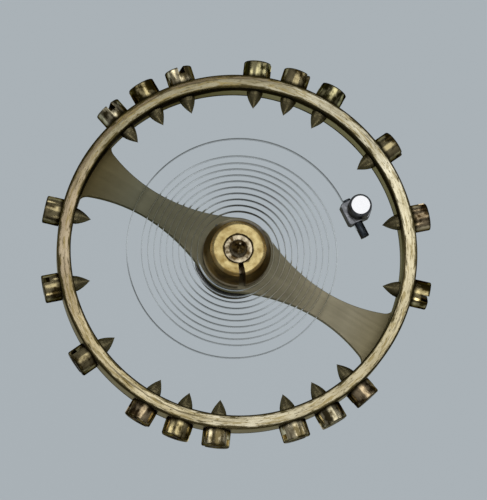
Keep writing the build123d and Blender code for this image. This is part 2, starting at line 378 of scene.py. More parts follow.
def lathe(name, outline, segments):
    """Solid of revolution about Z from a closed outline of (radius, height) points."""
    points = []
    rings = []
    for radius, height in outline:
        count = segments if radius > 0 else 1
        rings.append([len(points) + step % count for step in range(segments)])
        for step in range(count):
            around = TURN * step / segments
            points.append((radius * math.cos(around), radius * math.sin(around), height))
    faces = []
    for first, second in zip(rings, rings[1:] + rings[:1]):
        if first[0] == first[1] and second[0] == second[1]:
            continue
        for step in range(segments):
            following = (step + 1) % segments
            corners = [first[step], first[following], second[following], second[step]]
            faces.append(list(dict.fromkeys(corners)))
    return solid(name, points, faces)


def inset(outline, depth):
    """Outline moved inwards by this depth; the outline runs anticlockwise."""
    points = np.array(outline)
    ahead = np.roll(points, -1, axis=0) - points
    ahead /= np.linalg.norm(ahead, axis=1)[:, None]
    behind = np.roll(ahead, 1, axis=0)
    normals = np.stack([-ahead[:, 1] - behind[:, 1], ahead[:, 0] + behind[:, 0]], axis=1)
    length = np.linalg.norm(normals, axis=1)[:, None]
    return points + normals / length * depth / np.maximum(length / 2, 0.5)


def stack(name, rings):
    """Solid through rings that have the same number of points, closed at both ends."""
    count = len(rings[0])
    points = [point for ring in rings for point in ring]
    last = len(points) - count
    faces = [list(range(count))[::-1], list(range(last, last + count))]
    for base in range(0, last, count):
        for step in range(count):
            following = (step + 1) % count
            faces.append([base + step, base + following, base + count + following, base + count + step])
    return solid(name, points, faces)


def slab(name, outline, low, high, bevel=0.0, steps=3):
    """Plate between two heights from an anticlockwise outline, with rounded long edges."""
    levels = [(0.0, low), (0.0, high)]
    if bevel > 0:
        quarter = [math.pi / 2 * step / steps for step in range(steps + 1)]
        levels = [(bevel * (1 - math.sin(a)), low + bevel * (1 - math.cos(a))) for a in quarter]
        levels += [(bevel * (1 - math.cos(a)), high - bevel * (1 - math.sin(a))) for a in quarter]
    return stack(name, [[(x, y, height) for x, y in inset(outline, depth)] for depth, height in levels])


def rod(name, radius, start, end, segments=screw_segments):
    """Plain round rod between two heights, used as a cutter."""
    return lathe(name, [(0, start), (radius, start), (radius, end), (0, end)], segments)


def bake(piece):
    """Apply what the piece's modifiers do to its mesh."""
    graph = bpy.context.evaluated_depsgraph_get()
    mesh = bpy.data.meshes.new_from_object(piece.evaluated_get(graph))
    piece.modifiers.clear()
    piece.data = mesh


def carve(piece, tool, operation="DIFFERENCE"):
    """Cut a tool piece out of a piece, or add it, and remove the tool."""
    modifier = piece.modifiers.new("carve", "BOOLEAN")
    modifier.operation = operation
    modifier.solver = "EXACT"
    modifier.object = tool
    bake(piece)
    bpy.data.objects.remove(tool)


def soften(piece, width, segments=2, angle=40):
    """Round the sharp edges that a cut left."""
    modifier = piece.modifiers.new("soften", "BEVEL")
    modifier.width = width
    modifier.segments = segments
    modifier.limit_method = "ANGLE"
    modifier.angle_limit = math.radians(angle)
    bake(piece)


def moved(piece, matrix):
    """Move a piece's mesh, still in millimetres."""
    piece.data.transform(matrix)
    return piece


def turn(angle, axis="Z"):
    """Turn about an axis."""
    return Matrix.Rotation(math.radians(angle), 4, axis)


def shift(x, y, z):
    """Move without a turn."""
    return Matrix.Translation((x, y, z))


def stud_frame(distance):
    """Frame at the stud: X runs out from the staff, Y on anticlockwise."""
    return turn(spring_start_angle) @ shift(distance, -stud_offset, 0)


# Turns that lay what was built along Z along +Y or +X
lay_along_y = turn(-90, "X")
lay_along_x = turn(90, "Y")

# Frame at the collet's cross hole: X runs out from the staff, Y on anticlockwise
collet_hole_frame = turn(spring_end_angle) @ shift(collet_hole_distance, 0, spring_middle)


def shade(piece, *finishes):
    """Give the piece its finishes, metres for its size, and smooth faces with crisp edges."""
    mesh = piece.data
    mesh.transform(Matrix.Scale(MM, 4))
    mesh.materials.clear()
    for finish in finishes:
        mesh.materials.append(finish.owner)
    mesh.polygons.foreach_set("use_smooth", [True] * len(mesh.polygons))
    mesh.set_sharp_from_angle(angle=math.radians(smooth_angle))
    modifier = piece.modifiers.new("even", "WEIGHTED_NORMAL")
    modifier.keep_sharp = True
    bake(piece)
    return piece


def settle(piece, node, body="balance"):
    """Ride the piece on its body and hide the node that it stands for."""
    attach(piece, body)
    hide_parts(node)


class Nodes:
    """Node tree of a material or of the room, and short ways to add to it."""

    def __init__(self, owner):
        owner.use_nodes = True
        self.owner = owner
        self.tree = owner.node_tree
        self.shader = self.tree.nodes.get("Principled BSDF")

    def feed(self, socket, value):
        """Set a socket to a value, or link another socket to it."""
        if isinstance(value, bpy.types.NodeSocket):
            self.tree.links.new(value, socket)
        elif socket.type == "RGBA":
            socket.default_value = (*value, 1)
        else:
            socket.default_value = value

    def fill(self, node, inputs):
        """Feed a node's inputs."""
        for key, value in inputs.items():
            self.feed(node.inputs[key], value)
        return node

    def add(self, kind, inputs, **settings):
        """New node with these settings and inputs."""
        node = self.tree.nodes.new("ShaderNode" + kind)
        for name, value in settings.items():
            setattr(node, name, value)
        return self.fill(node, inputs)

    def maths(self, operation, first, second=0.0):
        """Maths on sockets or plain numbers."""
        return self.add("Math", {0: first, 1: second}, operation=operation).outputs[0]

    plus = partialmethod(maths, "ADD")
    minus = partialmethod(maths, "SUBTRACT")
    times = partialmethod(maths, "MULTIPLY")
    over = partialmethod(maths, "DIVIDE")
    larger = partialmethod(maths, "MAXIMUM")
    size = partialmethod(maths, "ABSOLUTE")

    def split(self, vector):
        """The three coordinates of a vector."""
        return self.add("SeparateXYZ", {0: vector}).outputs

    def spread(self, value, low, high, to_low=0.0, to_high=1.0):
        """Map a range of values to another, clamped."""
        limits = {"From Min": low, "From Max": high, "To Min": to_low, "To Max": to_high}
        return self.add("MapRange", {"Value": value, **limits}).outputs["Result"]

    def blend(self, share, first, second):
        """Mix two colours, each a colour or a socket."""
        return self.add("Mix", {"Factor": share, 6: first, 7: second}, data_type="RGBA").outputs[2]

    def stretched(self, vector, scale, offset=(0, 0, 0)):
        """Vector stretched by a factor for each axis, then moved."""
        inputs = {"Vector": vector, "Scale": scale, "Location": offset}
        return self.add("Mapping", inputs).outputs["Vector"]

    def place(self, offset=(0, 0, 0)):
        """The point on the piece, in millimetres."""
        return self.stretched(self.add("TexCoord", {}).outputs["Object"], (1 / MM,) * 3, offset)

    def noise(self, vector, scale, detail=3.0, rough=0.55):
        """Noise value between 0 and 1."""
        inputs = {"Vector": vector, "Scale": scale, "Detail": detail, "Roughness": rough}
        return self.add("TexNoise", inputs).outputs["Fac"]


class Metal(Nodes):
    """Metal with patches of tarnish and fine marks, drawn round the staff or along the piece."""

    def __init__(self, name, clean, dull, marks, roughness=(0.2, 0.4), grain=0.6, patch=0.7, seed=0.0,
                 amount=(0.42, 0.68), lengthwise=False, marks_share=0.35, grazing=(0.3, 0.27, 0.2)):
        super().__init__(bpy.data.materials.new(name))
        self.point = self.place()
        self.x, self.y, self.z = self.split(self.point)
        squares = self.plus(self.maths("POWER", self.x, 2.0), self.maths("POWER", self.y, 2.0))
        self.radius = self.maths("SQRT", self.plus(squares, 1e-6))
        spot = self.place((seed, seed * 1.7, -seed))
        if lengthwise:
            lines = self.stretched(spot, (marks[0], marks[1], marks[1]))
        else:
            lines = self.turning_marks(*marks)
        patches = self.noise(spot, patch, 4.0, 0.6)
        streaks = self.noise(lines, 1.0, 4.0, 0.65)
        wear = self.plus(self.times(patches, 1 - marks_share), self.times(streaks, marks_share))
        relief = {"Strength": grain, "Distance": relief_depth * MM, "Height": streaks}
        self.fill(self.shader, {
            "Base Color": self.blend(self.spread(wear, *amount), clean, dull),
            "Roughness": self.spread(wear, *wear_range, *roughness),
            "Metallic": 1.0,
            "Specular Tint": grazing,
            "Normal": self.add("Bump", relief).outputs["Normal"],
        })

    def turning_marks(self, along, across):
        """Coordinates in which a noise is drawn out round the staff, like marks of turning."""
        first = self.times(self.over(self.x, self.radius), along)
        second = self.times(self.over(self.y, self.radius), along)
        third = self.times(self.plus(self.radius, self.z), across)
        return self.add("CombineXYZ", {0: first, 1: second, 2: third}).outputs[0]

    def towards(self, angle):
        """Cosine of the angle in plan between the point and this direction of the picture."""
        direction = polar(1, angle - arm_direction)
        inputs = {0: self.point, 1: (direction[0], direction[1], 0)}
        product = self.add("VectorMath", inputs, operation="DOT_PRODUCT")
        return self.over(product.outputs["Value"], self.radius)

    def tint(self, share, colour):
        """Mix one more colour in where the share is high."""
        base = self.shader.inputs["Base Color"]
        self.feed(base, self.blend(share, base.links[0].from_socket, colour))

    def stain_and_painted_light(self, value, start, full, strength, colour):
        """Tint that begins where a value passes start and has its strength beyond full; it gives stains and
        painted light and shade alike.
        """
        self.tint(self.spread(value, start, full, 0.0, strength), colour)


def rim_metal():
    """Polished rim face: tarnish and smears along the rim, with painted shade and a painted reflection by
    side, an uneven seam line of painted shade and ragged dark edges of painted shade.
    """
    face = Metal("rim_face", clean=(0.76, 0.715, 0.55), dull=(0.36, 0.305, 0.165), marks=(5.0, 7.0),
                 patch=0.45, amount=(0.46, 0.64), seed=4.0, marks_share=0.5)
    smears = face.turning_marks(9.0, 10.0)
    waves = face.turning_marks(6.0, 3.0)
    specks = face.turning_marks(32.0, 20.0)
    # Tints by side of the picture: painted shade on the upper left, a painted reflection on the right
    for angle, start, full, strength, colour in rim_face_tints_and_painted_light:
        face.stain_and_painted_light(face.towards(angle), start, full, strength, colour)
    # The seam's dark line is painted shade standing in for a fine groove, strongest towards the picture's
    # upper and lower left and in patches
    wander = face.times(face.noise(waves, 1.0), seam_wander)
    lean = face.times(face.towards(60), seam_lean)
    seam = face.minus(face.plus(face.plus(face.radius, wander), lean), rim_seam_distance)
    brown_side = face.spread(face.towards(118), 0.6, 0.9, 0.0, 0.9)
    face.tint(face.times(face.spread(seam, -0.02, 0.04), brown_side), (0.19, 0.145, 0.085))
    line = face.spread(face.size(seam), *seam_half_width, 1.0, 0.0)
    seen = face.larger(face.spread(face.towards(108), 0.8, 0.95, 0.0, 0.7),
                       face.spread(face.towards(240), 0.9, 0.97, 0.0, 0.8))
    seen = face.larger(seen, face.spread(face.noise(waves, 0.7, 2.0), 0.54, 0.62, 0.0, 0.6))
    face.tint(face.times(line, seen), (0.05, 0.035, 0.014))
    face.stain_and_painted_light(face.noise(smears, 1.0, 4.0, 0.6), 0.53, 0.6, 0.72, (0.27, 0.205, 0.07))
    face.stain_and_painted_light(face.noise(specks, 1.0, 3.0, 0.6), 0.58, 0.66, 0.85, (0.09, 0.068, 0.018))
    # Ragged dark edges of the face: painted shade along the rim's edges
    edge = face.size(face.minus(face.radius, rim_mean_radius))
    bite = face.times(face.spread(face.noise(smears, 1.3, 3.0, 0.6), 0.45, 0.7), edge_bite)
    face_half = rim_wall / 2 - rim_edge_bevel
    ragged = face.plus(edge, bite)
    face.stain_and_painted_light(ragged, face_half - edge_blur, face_half + edge_blur, 0.95, (0.06, 0.047, 0.015))
    return face


def wall_metal(name, clean, dull, dark, upper, lower, grazing, lit=None, rise=0.0, fade=0.0):
    """Wall of the rim: stained, with painted shade as a dark band from a height upwards and again at its
    foot.
    On the picture's right it can take painted light, and its dark band can start higher by a rise and fade."""
    wall = Metal(name, clean, dull, marks=(9.0, 5.0), roughness=(0.3, 0.5), patch=0.8,
                 amount=(0.35, 0.7), marks_share=0.6, grazing=grazing)
    wander = wall.times(wall.noise(wall.turning_marks(12.0, 1.0), 1.0), wall_wander)
    height = wall.plus(wall.z, wall.minus(wander, wall_wander / 2))
    # Painted light on the picture's right; painted shade in the dark band and at the foot
    if lit:
        wall.stain_and_painted_light(wall.towards(35), 0.2, 0.75, 0.85, lit)
    lift = wall.spread(wall.towards(45), 0.45, 0.7, 0.0, rise)
    band = wall.spread(wall.minus(height, lift), upper, upper + band_blur, 0.0, 0.92)
    kept = wall.spread(wall.towards(340), 0.86, 0.98, 1.0, 1.0 - fade)
    wall.tint(wall.times(band, kept), dark)
    wall.stain_and_painted_light(height, lower + foot_blur, lower, 0.92, dark)
    return wall


def arm_metal():
    """Arms and hub: olive grey with fine marks along them, darker towards one end as painted shade, browner
    near the rim, and dark with painted shade on the hub under the collet.
    """
    arm = Metal("arm_metal", clean=(0.35, 0.315, 0.215), dull=(0.25, 0.23, 0.155), roughness=(0.4, 0.55),
                grain=0.3, marks=(0.3, 5.0), patch=0.3, amount=(0.36, 0.74), lengthwise=True)
    # The first tint is painted shade on the left arm
    for start, full, strength, colour in arm_painted_shade_and_tints:
        arm.stain_and_painted_light(arm.x, start, full, strength, colour)
    # Painted shade on the hub under the collet
    arm.stain_and_painted_light(arm.radius, collet_radius - 0.05, collet_radius - 0.25, 0.9, (0.04, 0.03, 0.012))
    return arm


def screw_metal(number, finish):
    """Turned screw with stains along its length. Its head is dark at both ends and on the sides that face
    sideways, all painted shade, the foot being a painted contact shadow; its point is duller and darker, the
    darkening partly painted shade.
    """
    clean, dull = screw_tints[finish]
    screw = Metal(f"screw_{number:02d}", clean, dull, roughness=(0.12, 0.3), grain=0.5, marks=(0.6, 2.2),
                  patch=1.3, amount=(0.45, 0.55), seed=3.1 * number, lengthwise=True, marks_share=0.4,
                  grazing=(0.2, 0.17, 0.1))
    level = screw.size(screw.split(screw.add("NewGeometry", {}).outputs["Normal"])["Z"])
    endwise = screw.size(screw.split(screw.add("TexCoord", {}).outputs["Normal"])["X"])
    # Painted shade on the head's outer end
    end = screw.times(screw.spread(screw.x, head_end - 0.12, head_end - 0.03, 0.0, 0.9),
                      screw.spread(endwise, 0.8, 0.97, 1.0, 0.15))
    screw.tint(end, (0.045, 0.036, 0.012))
    # Painted contact shadow where the head meets the rim
    screw.stain_and_painted_light(screw.x, rim_outer_radius + 0.18, rim_outer_radius + 0.05, 0.92, (0.025, 0.02, 0.008))
    # The point is rougher and darker, partly its own tone and partly painted shade inside the rim
    on_point = screw.spread(screw.x, rim_outer_radius, rim_inner_radius)
    screw.tint(screw.times(on_point, 0.6), (0.26, 0.225, 0.12))
    # Painted shade on the head's sides that face sideways
    painted_flank_shade = screw.times(screw.spread(level, 0.62, 0.25, 0.0, 0.8), screw.spread(endwise, 0.3, 0.7, 1.0, 0.0))
    screw.tint(painted_flank_shade, (0.035, 0.030, 0.010))
    rough = screw.shader.inputs["Roughness"]
    screw.feed(rough, screw.larger(rough.links[0].from_socket, screw.times(on_point, 0.4)))
    return screw


def collet_face():
    """Champagne face of the collet, browner at its outer edge and dark at the bore."""
    face = Metal("collet_face", clean=(0.56, 0.455, 0.215), dull=(0.29, 0.20, 0.065), marks=(1.5, 5.0),
                 roughness=(0.18, 0.36), patch=1.5, amount=(0.44, 0.62), marks_share=0.3)
    uneven = face.times(face.minus(face.noise(face.point, 1.6), 0.5), 0.32)
    radius = face.plus(face.radius, uneven)
    face.stain_and_painted_light(radius, collet_face_radius, collet_top_radius, 0.8, (0.24, 0.14, 0.035))
    face.stain_and_painted_light(radius, bore_radius + 0.07, bore_radius + 0.02, 0.85, (0.03, 0.018, 0.006))
    return face


def collet_side():
    """Flank of the collet: brown, golden on one side as a painted highlight, lighter on the wall at its
    foot.
    """
    side = Metal("collet_side", clean=(0.42, 0.27, 0.07), dull=(0.08, 0.045, 0.010), marks=(1.5, 5.0),
                 roughness=(0.3, 0.45), patch=1.2, grazing=(1, 1, 1))
    # Painted highlight on the picture's upper left
    side.stain_and_painted_light(side.towards(130), 0.1, 0.9, 0.7, (0.62, 0.45, 0.17))
    wall_top = collet_bottom + collet_wall_height
    side.stain_and_painted_light(side.z, wall_top + 0.05, wall_top - 0.1, 0.9, (0.42, 0.32, 0.19))
    return side


def over_the_arms(steel):
    """How far a coil is seen over an arm, where it takes painted shade: the arm's width by its length, moved
    as the lean shows it.
    """
    half_width = steel.spread(steel.size(steel.x), 1.5, 3.8, 1.32, arm_waist_width / 2 + 0.04)
    across = steel.size(steel.plus(steel.y, 0.11))
    return steel.spread(steel.minus(across, half_width), -0.06, 0.06, 0.95, 0.0)


def spring_metal(name, clean, dull, dark, left, right):
    """Steel of the spring, with painted shade on two sides of the staff and round its outermost turn. Over
    the arms it takes painted shade, a tone that runs from left to right."""
    steel = Metal(name, clean, dull, marks=(2.0, 6.0), roughness=(0.15, 0.3), grain=0.2, patch=0.5,
                  grazing=(1, 1, 1))
    side = steel.size(steel.towards(77))
    near = steel.spread(steel.radius, 2.2, 4.4, 1.0, 0.5)
    # Painted shade on two sides of the staff and round the outermost turn
    inner = steel.times(steel.spread(side, 0.72, 0.96, 0.0, 0.95), near)
    outermost = steel.times(steel.spread(steel.radius, 4.7, 5.2, 0.0, 0.7), steel.spread(side, 0.25, 0.55))
    steel.tint(steel.larger(inner, outermost), dark)
    # Painted shade over the arms, running from left to right
    steel.tint(over_the_arms(steel), steel.blend(steel.spread(steel.x, -2.5, 2.5), left, right))
    return steel


def ruby():
    """Clear red jewel."""
    stone = Nodes(bpy.data.materials.new("ruby"))
    cloud = stone.spread(stone.noise(stone.place(), 5.0), 0.3, 0.7)
    stone.fill(stone.shader, {
        "Base Color": stone.blend(cloud, (0.75, 0.03, 0.12), (0.5, 0.01, 0.07)),
        "Roughness": 0.06,
        "IOR": 1.76,
        "Transmission Weight": 0.6,
    })
    return stone


def arm_side(steps=18):
    """Upper edge of the right arm in plan, from the hub to inside the rim."""
    waist = arm_waist_width / 2
    root = arm_root_width / 2
    root_reach = math.sqrt(rim_inner_radius**2 - root**2)
    inner_bend = (arm_waist_distance**2 + waist**2 - hub_radius**2) / (2 * (hub_radius - waist))
    outer_reach = root_reach - arm_waist_distance
    outer_rise = root - waist
    outer_bend = (outer_reach**2 + outer_rise**2) / (2 * outer_rise)
    touch = math.degrees(math.atan2(waist + inner_bend, arm_waist_distance))
    points = arc((arm_waist_distance, waist + inner_bend), inner_bend, 180 + touch, 270, steps)
    flare_end = 270 + math.degrees(math.asin((outer_reach - arm_root_fillet) / outer_bend))
    points += arc((arm_waist_distance, waist + outer_bend), outer_bend, 270, flare_end, steps)[1:]
    beyond = math.degrees(math.atan2(root, root_reach) + arm_root_fillet / rim_inner_radius)
    landing = polar(rim_inner_radius + rim_foot_bevel, beyond)
    points += bezier(points[-1], (root_reach, root), landing, arm_corner_steps)[1:]
    return points + [polar(rim_mean_radius, beyond)]


def bar_outline(hub_steps=24, end_steps=16):
    """Plan of hub and both arms, anticlockwise; the lower half is the upper one turned over."""
    right = arm_side()
    left = [np.array([-x, y]) for x, y in right]
    start, end = (math.degrees(math.atan2(y, x)) for x, y in (right[0], right[-1]))
    over = arc((0, 0), hub_radius, start, 180 - start, hub_steps)[1:-1]
    left_end = arc((0, 0), rim_mean_radius, 180 - end, 180 + end, end_steps)[1:-1]
    upper = right[::-1] + over + left + left_end
    return upper + [-point for point in upper]


def wheel():
    """Rim, arms and hub in one piece, with the staff's hole and the screws' holes."""
    section = box_plan(rim_inner_radius, rim_outer_radius, arm_bottom, rim_top)
    radii = (rim_foot_bevel, rim_foot_bevel, rim_edge_bevel, rim_edge_bevel)
    piece = lathe("balance_wheel", rounded_box(section, radii), wheel_segments)
    carve(piece, slab("bar", bar_outline(), arm_bottom, arm_top, arm_edge_bevel), "UNION")
    bore = balance_seat_radius + seat_clearance
    carve(piece, rod("bore", bore, arm_bottom - overrun, arm_top + overrun, staff_segments))
    hole = screw_shank_radius + seat_clearance
    for angle in screw_angles:
        tool = rod("tap", hole, rim_inner_radius - overrun, rim_outer_radius + overrun)
        moved(tool, shift(0, 0, rim_middle) @ turn(angle) @ lay_along_x)
        carve(piece, tool)
    return piece


def paint_wheel(piece):
    """Rim face, both walls of the rim and the arms take their own finish."""
    for polygon in piece.data.polygons:
        x, y, z = polygon.center / MM
        radius = math.hypot(x, y)
        finish = 1 if radius < rim_mean_radius else 2
        if radius < rim_inner_radius - seat_clearance and z < arm_top + seat_clearance:
            finish = 3
        elif polygon.normal.z > 0.6 and z > rim_top - rim_edge_bevel:
            finish = 0
        polygon.material_index = finish


def finish_upward(piece, height, slant=0.9):
    """Faces above this height that look up take the piece's second finish."""
    for polygon in piece.data.polygons:
        if polygon.normal.z > slant and polygon.center.z > height * MM:
            polygon.material_index = 1


def screw_body():
    """Threaded shank and point about X: each row is a ring whose radius follows the thread."""
    row_step = screw_thread_pitch / screw_rows_per_turn
    row_count = int((rim_outer_radius - screw_point_distance) / row_step)
    rows = [screw_point_distance + row * row_step for row in range(row_count)] + [rim_outer_radius]
    rings = []
    for row in rows:
        share = max(0.0, (screw_point_distance + screw_point_length - row) / screw_point_length)
        radius = max(screw_shank_radius * (1 - share**screw_point_bulge), screw_tip_radius)
        cut = screw_thread_depth * (radius / screw_shank_radius) ** 2
        if row >= rim_inner_radius + overrun:
            cut = 0
        ring = []
        for step in range(screw_segments):
            around = TURN * step / screw_segments
            phase = (row / screw_thread_pitch + step / screw_segments) % 1
            reach = radius - cut * (1 - abs(2 * phase - 1))
            ring.append((row, reach * math.cos(around), reach * math.sin(around)))
        rings.append(ring)
    return stack("screw_body", rings)


def screw_head():
    """Head with rounded edges and a slot across its end, on X."""
    outline = rounded([
        (0, rim_outer_radius, 0),
        (screw_head_radius, rim_outer_radius, screw_slot_bevel),
        (screw_head_radius, head_end - seat_clearance, screw_head_bevel),
        (screw_head_radius / 2, head_end, 0),
        (0, head_end, 0),
    ])
    head = moved(lathe("head", outline, screw_segments), lay_along_x)
    far = 2 * screw_head_radius
    half = screw_slot_width / 2
    slot = box_plan(head_end - screw_slot_depth, head_end + overrun, -half, half)
    carve(head, slab("slot", slot, -far, far))
    soften(head, screw_slot_bevel)
    return head


def staff():
    """Staff turned in one piece, with hollow cones below its pivots."""
    bevel = staff_edge_bevel
    seat_bottom = pivot_length + lower_cone_length
    groove_bottom = shoulder_top - staff_groove_depth
    lower = [(0, 0, 0), (pivot_radius, 0, pivot_end_radius)]
    upper = [(pivot_radius, staff_top, pivot_end_radius), (0, staff_top, 0)]
    lower_curve = bezier((pivot_radius, pivot_length), (pivot_radius, seat_bottom - lower_cone_hollow),
                         (roller_seat_radius, seat_bottom), lower_cone_steps)
    hollow = (pivot_radius + upper_cone_hollow, shoulder_top + upper_cone_hollow_rise)
    upper_curve = bezier((staff_cone_base_radius, shoulder_top + upper_cone_foot), hollow,
                         (pivot_radius, upper_pivot_base), upper_cone_steps)
    outline = lower + [(x, z, 0) for x, z in lower_curve] + [
        (roller_seat_radius, roller_top + seat_clearance, 0),
        (staff_hub_radius, roller_top + seat_clearance, bevel),
        (staff_hub_radius, arm_bottom - seat_clearance, bevel),
        (balance_seat_radius, arm_bottom - seat_clearance, 0),
        (balance_seat_radius, arm_top + seat_clearance, 0),
        (rivet_radius, arm_top + seat_clearance, 0),
        (rivet_radius, rivet_top, bevel),
        (collet_seat_radius, rivet_top, 0),
        (collet_seat_radius, shoulder_top, bevel),
        (staff_cone_base_radius + staff_groove_width, shoulder_top, 0),
        (staff_cone_base_radius + staff_groove_floor, groove_bottom, 0),
        (staff_cone_base_radius, groove_bottom, 0),
    ] + [(x, z, 0) for x, z in upper_curve] + upper
    return lathe("staff", rounded(outline), staff_segments)


def jewel_plan(clearance, steps=40):
    """Plan of the impulse jewel on X, anticlockwise, with a flat on its outer side."""
    radius = jewel_radius + clearance
    flat = jewel_radius - jewel_flat_depth + clearance
    half = math.degrees(math.acos(flat / radius))
    return arc((jewel_distance, 0), radius, half, 360 - half, steps)


def roller():
    """Roller with its pipe, the jewel's hole and the passing crescent."""
    bore = roller_seat_radius + seat_clearance
    bevel = roller_edge_bevel
    piece = lathe("roller", rounded([
        (bore, pipe_bottom, roller_bore_bevel),
        (roller_pipe_radius, pipe_bottom, bevel),
        (roller_pipe_radius, roller_bottom, roller_pipe_fillet),
        (roller_radius, roller_bottom, bevel),
        (roller_radius, roller_top, bevel),
        (bore, roller_top, roller_bore_bevel),
    ]), staff_segments * 2)
    centre = (roller_radius + crescent_radius / 4, 0)
    crescent = arc(centre, crescent_radius, 0, 360 - 360 / crescent_steps, crescent_steps - 1)
    for plan in (jewel_plan(seat_clearance), crescent):
        tool = slab("cutter", plan, roller_bottom - overrun, roller_top + overrun)
        carve(piece, moved(tool, turn(jewel_angle)))
    return piece


def jewel():
    """Impulse jewel, standing down from the roller."""
    piece = slab("jewel", jewel_plan(0), roller_bottom - jewel_drop, roller_top, jewel_end_bevel)
    return moved(piece, turn(jewel_angle))


def collet():
    """Split collet with rounded shoulders, a slit and a cross hole."""
    piece = lathe("collet_ring", rounded([
        (bore_radius, collet_bottom, collet_bore_bevel),
        (collet_radius, collet_bottom, collet_edge_bevel),
        (collet_radius, collet_bottom + collet_wall_height, collet_shoulder_round),
        (collet_top_radius, collet_top - collet_face_drop, collet_edge_bevel),
        (collet_face_radius, collet_top, collet_shoulder_round),
        (bore_radius, collet_top, collet_edge_bevel),
    ]), staff_segments * 2)
    inner = collet_slit_inner_width / 2
    outer = collet_slit_outer_width / 2
    far = collet_radius + overrun
    plan = [(0, -inner), (far, -outer), (far, outer), (0, inner)]
    tool = slab("slit", plan, collet_bottom - overrun, collet_top + overrun)
    carve(piece, moved(tool, turn(collet_slit_angle)))
    tool = rod("cross", collet_hole_radius, -collet_radius, collet_radius)
    carve(piece, moved(tool, collet_hole_frame @ lay_along_y))
    soften(piece, collet_cut_bevel)
    return piece


def taper_pin(name, radius, length, flat_offset):
    """Taper pin along +Y from its thin end, with a flat on the side that meets the spring."""
    thin = radius * pin_taper_share
    pin = lathe(name, rounded([
        (0, 0, 0),
        (thin, 0, pin_end_bevel),
        (radius, length, pin_end_bevel),
        (0, length, 0),
    ]), screw_segments)
    moved(pin, lay_along_y)
    side = math.copysign(2 * radius, flat_offset)
    low, high = sorted((flat_offset, flat_offset + side))
    plan = box_plan(low, high, -overrun, length + overrun)
    carve(pin, slab("flat", plan, -2 * radius, 2 * radius))
    return pin


def collet_pin():
    """Pin that wedges the spring's inner end in the collet."""
    flat = spring_end_distance - collet_hole_distance - spring_thickness / 2 - seat_clearance
    nose = elbow_start - spring_thickness
    length = nose + collet_chord + collet_pin_tail
    pin = taper_pin("collet_taper_pin", collet_hole_radius - seat_clearance, length, flat)
    return moved(pin, collet_hole_frame @ shift(0, -nose, 0))


def stud():
    """Stud: bevelled post on a block, with a cross hole for the spring and its pin."""
    half = stud_block_width / 2
    plan = box_plan(-stud_block_reach, stud_block_back, -half, half)
    outline = rounded_box(plan, (stud_bevel, stud_back_bevel, stud_back_bevel, stud_bevel), steps=1)
    piece = slab("stud_block", outline, stud_bottom, stud_bottom + stud_block_height, stud_edge_bevel)
    top = stud_bottom + stud_height
    post = lathe("post", rounded([
        (0, stud_bottom + stud_block_height / 2, 0),
        (stud_radius, stud_bottom + stud_block_height / 2, 0),
        (stud_radius, top - stud_bevel, stud_edge_bevel),
        (stud_radius - stud_bevel, top, stud_edge_bevel),
        (0, top, 0),
    ]), staff_segments)
    carve(piece, post, "UNION")
    moved(piece, stud_frame(stud_distance))
    tool = rod("cross", stud_hole_radius, -stud_block_width, stud_block_width)
    carve(piece, moved(tool, stud_frame(stud_hole_distance) @ shift(0, 0, spring_middle) @ lay_along_y))
    return piece


def stud_pin():
    """Pin that wedges the spring's outer end in the stud, thick end first."""
    flat = spring_thickness / 2 + seat_clearance - stud_hole_offset
    length = stud_pin_tail + stud_block_width + stud_pin_nose
    pin = taper_pin("stud_taper_pin", stud_hole_radius - seat_clearance, length, flat)
    thick_end = shift(0, -stud_pin_tail - stud_block_width / 2, spring_middle)
    return moved(pin, stud_frame(stud_hole_distance) @ thick_end @ shift(0, length, 0) @ turn(180, "X"))


def spring_route():
    """Centre line in plan as points with headings in degrees, and which of them begins the elbow. Its half
    turns join at radii that fall from the stud inwards."""
    body_outer = spring_outer_radius - spring_outer_step
    radii = [body_outer + share * spring_outer_step for share in outer_turn_shares]
    radii += [body_outer - spring_pitch / 2 * step for step in range(round(2 * spring_body_turns) + 1)]
    tail = stud_offset + stud_block_width / 2 + spring_tail
    start = polar(radii[0], spring_start_angle)
    route = [(start + polar(tail, spring_start_angle - 90), spring_start_angle + 90)]
    for index in range(half_turns):
        joint = spring_start_angle + 180 * index
        radius = (radii[index] + radii[index + 1]) / 2
        centre = polar(radii[index] - radius, joint)
        for step in range(half_turn_steps):
            angle = joint + 180 * step / half_turn_steps
            route.append((centre + polar(radius, angle), angle + 90))
    joint = spring_start_angle + 180 * half_turns
    centre = polar(elbow_offset, joint)
    elbow_first = len(route)
    for step in range(elbow_steps + 1):
        angle = joint + elbow_angle * step / elbow_steps
        route.append((centre + polar(elbow_radius, angle), angle + 90))
    run = elbow_start + collet_chord - collet_pin_tail
    route.append((route[-1][0] + polar(run, joint + elbow_angle + 90), joint + elbow_angle + 90))
    return route, elbow_first


def hairspring():
    """Blade swept along its route, with a share by its length for each point between stud and collet."""
    route, elbow_first = spring_route()
    half_width = spring_thickness / 2
    half_height = spring_blade_height / 2
    plan = box_plan(-half_width, half_width, -half_height, half_height)
    section = rounded_box(plan, [spring_edge_bevel] * 4, steps=2)
    rings = []
    for centre, heading in route:
        side = polar(1, heading - 90)
        rings.append([(*(centre + side * across), spring_middle + up) for across, up in section])
    places = np.array([centre for centre, heading in route])
    lengths = np.concatenate([[0], np.cumsum(np.linalg.norm(np.diff(places, axis=0), axis=1))])
    first, last = lengths[1], lengths[elbow_first]
    shares = np.clip((lengths - first) / (last - first), 0, 1)
    return stack("hairspring_blade", rings), np.repeat(shares, len(section))


